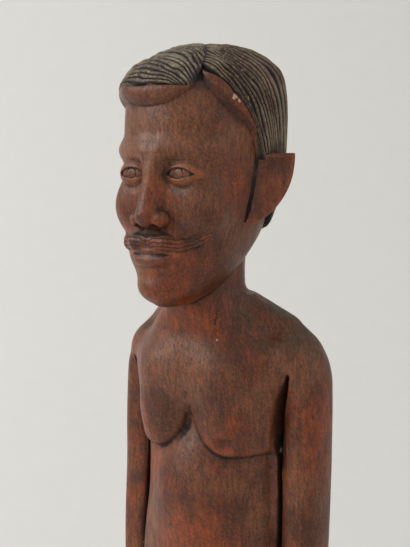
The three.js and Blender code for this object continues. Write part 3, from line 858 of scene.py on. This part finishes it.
def strands(name, keys, count, seed, bite, hair):
    """A group of combed strands: rounded crests between V-shaped gouge cuts, with grime and painted
    shade in the cuts, at the parting and along the hair's edge.
    """
    rng = np.random.default_rng(seed)
    columns = count * POINTS_PER_STRAND + 1
    u = np.linspace(0, 1, columns)
    key = np.stack(row_at(keys, u), axis=1).reshape(columns, 4, 3)
    directions, scalp = scalp_at(along(key, np.linspace(0, 1, STRAND_ROWS)))
    step = np.linalg.norm(np.diff(scalp, axis=1), axis=2)
    run = np.concatenate([np.zeros((columns, 1)), np.cumsum(step, axis=1)], axis=1)
    left_over = run[:, -1:] - run

    def uneven(*steps):
        return wander(rng, (columns, STRAND_ROWS), steps)

    phase = u[:, None] * count + STRAND_WANDER * uneven(12, 14)
    across = np.abs(phase - np.round(phase)) * 2
    crest = 1 - (1 - unit((across - bite) / (0.86 - bite))) ** 1.7
    width = np.linalg.norm(np.gradient(scalp, axis=0), axis=2) * POINTS_PER_STRAND
    fade = unit((width - 0.35) / 0.9) * unit(run / 4 + 0.25)
    cut = (GOUGE_DEPTH + 0.3 * uneven(10, 9)) * fade
    split = unit(uneven(10, 30) * 2.4)
    middle = unit(1 - (1 - across) / 0.34)
    height = -cut * (1 - crest) - SPLIT_DEPTH * split * middle * fade
    height += 0.1 * uneven(5, 3) + 0.16 * uneven(14, 10)
    roll = np.sqrt(unit(1 - (1 - unit(left_over / EDGE_ROLL)) ** 2))
    thickness = hair_thickness(scalp) - PARTING_DEPTH * np.exp(-run / 1.6)
    lift = thickness * roll - SUNK_EDGE * (1 - roll) + height * (0.4 + 0.6 * roll)
    # Grime and painted shade: dark in the gouges, the splits, the narrow strands and along the
    # hair's edge
    dark = (1 - crest) * (0.35 + 0.65 * fade) + 0.25 * split * middle
    dark += 0.85 * np.exp(-left_over / 1.5) + 0.22 * (1 - fade) * unit(left_over / 4)
    return shell(name, raised(scalp, directions, lift), groove=unit(dark),
                 hair=np.full(dark.shape, hair), seam=np.exp(-run / 1.2))


BAND_POINTS = 200
SECTION_POINTS = 46


def hair_band(name, rows, section, seed, bevel_from, bevel_shade):
    """A smooth lip along the hair's front edge, undercut where it meets the forehead and painted
    darker there as painted shade.
    """
    rng = np.random.default_rng(seed)
    table = np.stack(row_at(rows, np.linspace(0, 1, BAND_POINTS)), axis=1)
    upper, lower, stand = table[:, None, :3], table[:, None, 3:6], table[:, 6:]
    share = np.linspace(0, len(section) - 1, SECTION_POINTS)
    down, out = [np.interp(share, np.arange(len(section)), part) for part in zip(*section)]
    directions, scalp = scalp_at(upper + (lower - upper) * down[:, None])

    def uneven(*steps):
        return wander(rng, (BAND_POINTS, SECTION_POINTS), steps)

    lift = stand * out + 0.14 * uneven(9, 12)
    worn = np.exp(-((down - 0.35) / 0.35) ** 2) * (0.02 + 0.16 * uneven(16, 46))
    # From bevel_from down the band is painted darker, by bevel_shade: painted shade on its
    # underside
    under = unit((down - bevel_from) / 0.15) * (1 + 0.25 * uneven(14, 20))
    return shell(name, raised(scalp, directions, lift), edge=unit(worn),
                 shade=under * bevel_shade, hollow=under * 0.05)


# The carved eye: radii of the iris, the pupil and the dome, and the dome's half width and height.
IRIS = 2.05
PUPIL = 0.75
EYE_RADIUS = 4.3
DOME_HALF_WIDTH = 6.75
DOME_HALF_HEIGHT = 4.75
IRIS_DEPTH = 0.3


def eye(name, side):
    """A fine dome between the lids, with a cut round the iris and a drilled pupil, both painted
    black as painted shade, and painted shade near the lids.
    """
    rings, spokes = 60, 96
    r = np.linspace(0.02, EYE_RADIUS, rings)[:, None]
    turn = np.linspace(0, 2 * np.pi, spokes, endpoint=False)[None, :]
    dx, dz = r * np.cos(turn), r * np.sin(turn)
    bulge = 1 - (dx / DOME_HALF_WIDTH) ** 2 - (dz / DOME_HALF_HEIGHT) ** 2
    # The iris cut and the pupil are painted black: painted shade
    cut = np.exp(-((r - IRIS) / 0.2) ** 2) + unit((PUPIL + 0.15 - r) / 0.3)
    cut = np.broadcast_to(cut, dx.shape)
    y = eye_middle_y - DOME_HALF_HEIGHT * np.sqrt(np.maximum(bulge, 0)) + IRIS_DEPTH * cut
    points = np.stack([side * (eye_x + dx), y, eye_z + dz], axis=2).reshape(-1, 3)
    index = np.arange(rings * spokes).reshape(rings, spokes)
    beside = np.roll(index, -1, axis=1)
    quads = np.stack([index[:-1], index[1:], beside[1:], beside[:-1]], axis=-1).reshape(-1, 4)
    rim = np.stack([index[-1], np.full(spokes, len(points)), beside[-1]], axis=1)
    hub = index[:1, ::-1]
    facing = np.tile([0.0, -1.0, 0.0], (len(points), 1))
    # The dome darkens near the lids with painted shade
    near = shut_in(points, facing, 1.2)
    points = np.append(points, [[side * eye_x, eye_middle_y, eye_z]], axis=0)
    return mesh_object(name, points, [group[:, ::side] for group in (quads, rim, hub)],
                       groove=np.append(unit(cut), 0), hollow=np.append(near * 0.6, 0))


pieces += [
    strands("hair_left", LEFT_STRANDS, 18, 5, 0.2, 0.78),
    strands("hair_right", RIGHT_STRANDS, 25, 6, 0.04, 1.0),
    hair_band("fringe_right", RIGHT_BAND, ROLL, 12, 0.8, 0.45),
    hair_band("fringe_left", LEFT_BAND, BEVEL, 13, 0.56, 0.8),
    eye("eye_left", 1),
    eye("eye_right", -1),
]


# Materials
class Shader:
    """A short way to add nodes to a material and wire them up."""

    def __init__(self, name):
        self.material = bpy.data.materials.new(name)
        self.material.use_nodes = True
        self.tree = self.material.node_tree
        self.surface = self.tree.nodes["Principled BSDF"].inputs
        self.position = self.add("TexCoord", out="Object")

    def add(self, kind, inputs=(), out=0, **settings):
        """Adds a node with its settings and inputs, and gives one of its outputs."""
        node = self.tree.nodes.new("ShaderNode" + kind)
        for key, value in settings.items():
            setattr(node, key, value)
        for key, value in dict(inputs).items():
            self.feed(node.inputs[key], value)
        return node.outputs[out]

    def feed(self, socket, value):
        """Links an output to a socket, or sets the socket to a constant."""
        if isinstance(value, bpy.types.NodeSocket):
            self.tree.links.new(value, socket)
        else:
            socket.default_value = value

    def math(self, operation, a, b=0.0):
        return self.add("Math", {0: a, 1: b}, operation=operation)

    plus = partialmethod(math, "ADD")
    minus = partialmethod(math, "SUBTRACT")
    times = partialmethod(math, "MULTIPLY")
    most = partialmethod(math, "MAXIMUM")

    def swing(self, noise, spread):
        """A noise moved to lie about zero, times a spread."""
        return self.times(self.minus(noise, 0.5), spread)

    def remap(self, value, low, high, start=0.0, end=1.0):
        """Changes smoothly from start to end while the value goes from low to high."""
        return self.add("MapRange", {0: value, 1: low, 2: high, 3: start, 4: end},
                        interpolation_type="SMOOTHSTEP")

    def noise(self, scale, stretch=(1, 1, 1), detail=3.0, turn=(0, 0, 0), shift=0.0):
        """Noise over the object, turned and stretched: a small stretch draws it out."""
        place = self.position
        if any(turn):
            place = self.add("VectorRotate", {"Vector": place, "Rotation": turn},
                             rotation_type="EULER_XYZ")
        place = self.add("Mapping", {"Vector": place, "Scale": stretch,
                                               "Location": (shift, shift, shift)})
        return self.add("TexNoise", {"Vector": place, "Scale": scale, "Detail": detail})

    def away(self, x, y, z):
        """Distance from a point given in millimetres."""
        point = (x * METRE, y * METRE, z * METRE)
        return self.add("VectorMath", {0: self.position, 1: point},
                        out="Value", operation="DISTANCE")

    def mix(self, share, a, b, mode="MIX"):
        """Colour a with a share of colour b."""
        node = self.tree.nodes.new("ShaderNodeMix")
        node.data_type = "RGBA"
        node.blend_type = mode
        self.feed(node.inputs[0], share)
        self.feed(node.inputs[6], a)
        self.feed(node.inputs[7], b)
        return node.outputs[2]

    def value(self, name):
        """A value that the mesh carries."""
        return self.add("Attribute", out="Fac", attribute_name=name)

    def bump(self, height, strength, distance, **under):
        return self.add("Bump",
                        {"Height": height, "Strength": strength, "Distance": distance, **under})


def srgb(red, green, blue):
    """A display colour with levels from 0 to 255, as linear light."""
    levels = (red, green, blue)
    return [((c / 255 + 0.055) / 1.055) ** 2.4 if c > 10 else c / 3294.6 for c in levels] + [1.0]


BROWN = srgb(80, 38, 15)
RED = srgb(131, 57, 18)
# Wax haze with painted sheen
BLOOM_AND_SHEEN = srgb(119, 71, 43)
PATINA = srgb(66, 53, 31)
WORN_EDGE = srgb(156, 80, 40)
PORE = srgb(40, 22, 16)
DARK_SCRATCH = srgb(44, 24, 17)
PALE_SCRATCH = srgb(156, 90, 54)
# Grime with painted shade, for the hollows, creases and gaps
GRIME_AND_SHADE = srgb(22, 16, 15)
HAIR_GREY = srgb(128, 116, 94)
HAIR_BROWN = srgb(60, 44, 34)
HAIR_PALE = srgb(150, 134, 106)
HAIR_DARK = srgb(40, 31, 25)
# Near black for grime and painted shade in the cuts
GOUGE_BLACK = srgb(13, 11, 11)
# Pale bare wood, also used for painted light through the gap
BARE_CHIP_AND_GAP_LIGHT = srgb(196, 158, 128)
# Black for holes and for painted shade in the cleft
PIT_AND_CREASE_BLACK = srgb(16, 12, 12)
# Blue-grey for spots on the wood, painted shadow and painted shade
STAIN_AND_SHADOW_BLUE = srgb(40, 36, 40)

# Small marks: place and radius in millimetres
# Pale marks of bare wood; the last is painted light, seen through the gap between arm and trunk
CHIPS_AND_GAP_LIGHT = [
    [24, -21, 380, 0.9], [24.6, -19.6, 378.8, 0.7], [25.4, -15, 379.8, 0.7],
    [22.4, -14.8, 389.2, 0.6], [24.5, -11.8, 386.6, 0.5], [24.7, 3, 386.4, 0.5],
    [12.8, -15.5, 296.8, 0.4], [28.9, 1.2, 256.5, 1],
]
# Black marks: two holes by the neck, and painted shade along the cut between the breasts
PITS_AND_CREASE_SHADE = [
    [18.2, 4.1, 310.3, 0.9], [20.3, 4.7, 308.9, 0.8],
    [0.9, -15.5, 270.6, 0.5], [0.1, -14, 268.4, 0.7], [-0.8, -13.5, 266, 0.6],
]
# The fine crack on the neck, as a row of marks
CRACK = [[12.6 - 0.2 * n, -13.7 - 0.22 * n, 309 - 1.1 * n, 0.42] for n in range(7)]
# Blue-grey marks: discoloured spots on the far arm, a painted shadow on the forehead under the
# fringe by the parting, and painted shade in the dent above the breast's rim
STAINS_AND_SHADOWS = [
    [-35.3, -2.7, 237, 2.6], [-33.8, -2.7, 236, 2], [13.5, -28.3, 386, 3.4],
    [16.5, -26, 384, 2.4], [16, -16.4, 260.4, 1.4], [18, -16, 260.2, 1.7],
    [20.4, -15.5, 259.8, 1.7], [22.4, -14.6, 259.4, 1.2],
]
# Where the finish is worn to a warmer red, or bloomed over with a wax haze and painted sheen, as on
# the forehead and the chest: place, radius and how much.
RUBBED_AND_SHEEN = [
    [8, -18, 218, 30, 0.19], [6, -14, 306, 16, 0.25], [18, -15, 262, 14, 0.14],
    [-10, -16, 266, 12, -0.04], [3, -18, 286, 20, -0.24], [34, 0, 290, 15, -0.1],
    [-20, -12, 232, 13, -0.12], [25, -6, 236, 12, -0.14], [11, -32, 369, 24, -0.36],
    [28, -4, 352, 10, -0.1], [8, -37, 344, 16, 0.06], [-6, -38, 384, 12, 0.22],
]


def warmth_and_sheen(w):
    """How much warmer, or less warm and more bloomed over with painted sheen, the finish is at each
    place.
    """
    total = 0.0
    for x, y, z, radius, amount in RUBBED_AND_SHEEN:
        total = w.plus(total, w.remap(w.away(x, y, z), 0, radius * METRE, amount, 0))
    return total


def spots(w, places, sharpness):
    """Ragged spots at the given places, from 0 to 1."""
    frayed = w.swing(w.noise(1000, shift=45), 2.4)
    total = 0.0
    for x, y, z, radius in places:
        share = w.plus(w.math("DIVIDE", w.away(x, y, z), radius * METRE), frayed)
        total = w.most(total, w.remap(share, 0.6, 0.6 + 0.6 / sharpness, 1, 0))
    return total


def bare_wood(w, mottle, streak, speck):
    """The wood's colour, redder where it is worn, and greyer and lighter where it is bloomed over,
    with wax haze and painted sheen.
    """
    warmth_and_sheen_shift = warmth_and_sheen(w)
    warm = w.plus(w.noise(42, (1, 1, 0.75)), w.swing(mottle, 0.6))
    colour = w.mix(w.remap(w.plus(warm, warmth_and_sheen_shift), 0.34, 0.74), BROWN, RED)
    # Bloomed over with wax haze and painted sheen, most on the forehead and chest
    bloom_and_sheen = w.minus(w.noise(52, (1, 1, 0.9), 5, shift=13), warmth_and_sheen_shift)
    colour = w.mix(w.remap(bloom_and_sheen, 0.44, 0.7, 0, 0.75), colour, BLOOM_AND_SHEEN)
    streaks = w.remap(streak, 0.34, 0.66, 0.74, 1.24)
    depth = w.times(streaks, w.remap(speck, 0.34, 0.66, 0.74, 1.26))
    depth = w.add("CombineColor", {0: depth, 1: depth, 2: depth})
    return w.mix(1.0, colour, depth, "MULTIPLY")


def hair_colour(w):
    """Dusty grey crests with brown and dark patches."""
    patches = w.remap(w.noise(110, detail=4, shift=25), 0.36, 0.62)
    pale = w.remap(w.noise(1100, detail=2, shift=27), 0.46, 0.68, 0, 0.7)
    dark = w.remap(w.noise(1300, shift=47), 0.54, 0.7, 0, 0.6)
    return w.mix(dark, w.mix(pale, w.mix(patches, HAIR_GREY, HAIR_BROWN), HAIR_PALE), HAIR_DARK)


def top_patina(w):
    """How much patina lies on the surfaces that face upward."""
    up = w.add("SeparateXYZ", {0: w.add("NewGeometry", out="Normal")}, out=2)
    patches = w.remap(w.noise(120, detail=4, shift=17), 0.3, 0.62, 0.3, 0.85)
    return w.times(w.remap(up, 0.25, 0.85), patches)


def grime_and_painted_shade(w, ragged):
    """How much grime and painted shade lie in the hollows, by how shut in they are near by and
    further off.
    """
    hollow = w.remap(w.plus(w.value("hollow"), ragged), 0.14, 0.6)
    return w.most(hollow, w.remap(w.plus(w.value("shade"), ragged), 0.25, 0.9, 0, 0.6))


def moustache_lines(w, ragged):
    """Fine combed lines along the moustache, painted dark as painted shade and bumped."""
    wave = w.math("SINE", w.plus(w.times(w.value("lay"), 4.6), w.times(ragged, 7)))
    return w.times(w.remap(wave, 0.45, 0.95), w.value("combed"))


def cuts(w, ragged, lines):
    """How dark a place is painted for lying in a gouge cut, at the parting or in a combed line:
    grime and painted shade.
    """
    groove = w.plus(w.value("groove"), w.times(w.value("seam"), 0.2))
    groove = w.remap(w.plus(groove, w.times(ragged, 0.6)), 0.12, 0.62)
    return w.most(groove, w.times(lines, 0.7))


def relief(w, streak, pores, lines, scrape):
    """The surface's fine relief: tool marks, scratches, then grain, pores and combed lines."""
    tool = w.bump(w.noise(110, (1, 1, 0.6), 2, shift=35), 0.4, 0.001)
    scratched = w.bump(scrape, 0.25, 0.0002, Normal=tool)
    grain = w.minus(w.minus(w.times(streak, 0.6), w.times(pores, 0.6)), w.times(lines, 1.5))
    return w.bump(grain, 0.75, 0.0002, Normal=scratched)


def wood():
    """Satin reddish brown hardwood with an upright grain, worn on the edges, with painted shade
    black in the cuts and dark in the hollows, and painted sheen where it is bloomed over.
    """
    w = Shader("carved_wood")
    mottle = w.noise(210, (1, 1, 0.6), 4, shift=3)
    streak = w.noise(900, (1, 1, 0.2), 4, shift=5)
    speck = w.noise(1900, (1, 1, 0.75), shift=7)
    pores = w.remap(w.noise(1500, (1, 1, 0.3), 2, shift=9), 0.58, 0.72)
    scrape = w.noise(1500, (1, 1, 0.22), turn=(0.3, 0.75, 0), shift=39)
    ragged = w.swing(w.noise(520, shift=21), 0.5)
    worn = w.times(w.remap(w.value("edge"), 0.1, 0.55), w.remap(mottle, 0.35, 0.6, 0.25, 0.66))
    patina = top_patina(w)
    grime_and_shade = grime_and_painted_shade(w, ragged)
    lines = moustache_lines(w, ragged)
    groove = cuts(w, ragged, lines)
    hair = w.value("hair")

    colour = bare_wood(w, mottle, streak, speck)
    # Layers over the bare wood, the lowest first: how much of each there is, and its colour
    for share, layer in (
        (patina, PATINA),
        (worn, WORN_EDGE),
        (w.times(pores, 0.5), PORE),
        (w.remap(scrape, 0.54, 0.68, 0, 0.4), DARK_SCRATCH),
        (w.remap(scrape, 0.45, 0.33, 0, 0.28), PALE_SCRATCH),
        # Grime and painted shade, darker the more shut in a place is
        (w.times(grime_and_shade, 0.93), GRIME_AND_SHADE),
        (w.times(hair, 0.92), hair_colour(w)),
        # Grime and painted shade in the gouge cuts, the combed lines and the eyes' cuts
        (w.times(groove, 0.97), GOUGE_BLACK),
        # Bare wood, and painted light through the gap beside the near arm
        (spots(w, CHIPS_AND_GAP_LIGHT, 1.4), BARE_CHIP_AND_GAP_LIGHT),
        # Black holes and the neck's crack, with painted shade along the cut between the breasts
        (spots(w, PITS_AND_CREASE_SHADE + CRACK, 0.8), PIT_AND_CREASE_BLACK),
        # Blue-grey spots, with painted shadow and painted shade among them
        (w.times(spots(w, STAINS_AND_SHADOWS, 0.7), 0.5), STAIN_AND_SHADOW_BLUE),
    ):
        colour = w.mix(share, colour, layer)

    dull = w.most(w.most(grime_and_shade, w.most(groove, w.times(hair, 0.45))), w.times(patina, 0.4))
    rough = w.remap(w.noise(300, (1, 1, 0.4), shift=31), 0.3, 0.7, 0.33, 0.5)
    w.feed(w.surface["Base Color"], colour)
    w.feed(w.surface["Roughness"], w.plus(rough, w.times(dull, 0.36)))
    w.feed(w.surface["Normal"], relief(w, streak, pores, lines, scrape))
    w.feed(w.surface["IOR"], 1.46)
    w.feed(w.surface["Specular IOR Level"], 0.5)
    return w.material


material = wood()
for piece in pieces:
    piece.data.materials.append(material)

# Stage, light and camera, in metres
FLOOR_FRONT = -7.0
FLOOR_HALF_WIDTH = 7.0
BEND_START = 0.3
BEND_RADIUS = 0.7
BEND_STEPS = 16
WALL_TOP = 3.2
FLOOR_GAP = 0.0001
PAPER_PALE = [0.78, 0.778, 0.756, 1]
PAPER_DARK = [0.75, 0.748, 0.726, 1]


def from_camera(right, ahead, height):
    """A place given from the figure's upright axis as the camera sees it."""
    return (math.cos(AZIMUTH) * right - math.sin(AZIMUTH) * ahead,
            math.sin(AZIMUTH) * right + math.cos(AZIMUTH) * ahead, height)


def backdrop():
    """A pale floor that sweeps up into a wall behind the figure, square to the camera."""
    profile = [(FLOOR_FRONT, 0.0)]
    for n in range(BEND_STEPS + 1):
        turn = n / BEND_STEPS * math.pi / 2
        profile.append((BEND_START + BEND_RADIUS * math.sin(turn),
                        BEND_RADIUS - BEND_RADIUS * math.cos(turn)))
    profile.append((BEND_START + BEND_RADIUS, WALL_TOP))
    points = [from_camera(right, ahead, height - FLOOR_GAP)
              for ahead, height in profile for right in (-FLOOR_HALF_WIDTH, FLOOR_HALF_WIDTH)]
    faces = 2 * np.arange(len(profile) - 1)[:, None] + [0, 1, 3, 2]
    sweep = mesh_object("backdrop", np.array(points) / METRE, [faces])
    paper = Shader("pale_paper")
    grain = paper.noise(60, detail=2)
    paper.feed(paper.surface["Base Color"], paper.mix(grain, PAPER_PALE, PAPER_DARK))
    paper.feed(paper.surface["Roughness"], 0.9)
    sweep.data.materials.append(paper.material)


def area_light(name, place, size, power, colour):
    """A rectangular light that faces the figure."""
    data = bpy.data.lights.new(name, "AREA")
    data.shape = "RECTANGLE"
    data.size, data.size_y = size
    data.energy = power
    data.color = colour
    lamp = add_object(name, data)
    lamp.location = place
    lamp.rotation_euler = (Vector(place) - Vector(LIT_POINT)).to_track_quat("Z", "Y").to_euler()


def lighting():
    """A window on the camera's left, the pale room all round, and a little light from its right."""
    world = bpy.data.worlds.new("room")
    world.use_nodes = True
    room = world.node_tree.nodes["Background"].inputs
    room["Color"].default_value = (1.0, 0.99, 0.965, 1)
    room["Strength"].default_value = 0.6
    bpy.context.scene.world = world
    area_light("window", from_camera(-1.2, -0.2, 1.11), (1.1, 1.2), 13.8, (1.0, 0.985, 0.96))
    area_light("room_side", from_camera(1.2, -0.6, 0.81), (0.9, 1.2), 1.2, (1.0, 0.98, 0.95))


def camera():
    """The camera, at the photograph's distance and height."""
    ahead, height = -DISTANCE * math.cos(ELEVATION), DISTANCE * math.sin(ELEVATION)
    back = Vector(from_camera(0, ahead, height))
    data = bpy.data.cameras.new("camera")
    data.sensor_fit = "VERTICAL"
    data.sensor_height = 24
    data.lens = data.sensor_height / 2 / math.tan(VIEW_ANGLE / 2)
    data.clip_start = 0.01
    placed = add_object("camera", data)
    placed.location = Vector(TARGET) + back
    placed.rotation_euler = back.to_track_quat("Z", "Y").to_euler()
    bpy.context.scene.camera = placed


backdrop()
lighting()
camera()
bpy.context.scene.view_settings.view_transform = "Standard"
for piece in pieces:
    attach(piece, "root")
    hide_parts("carved_figure")
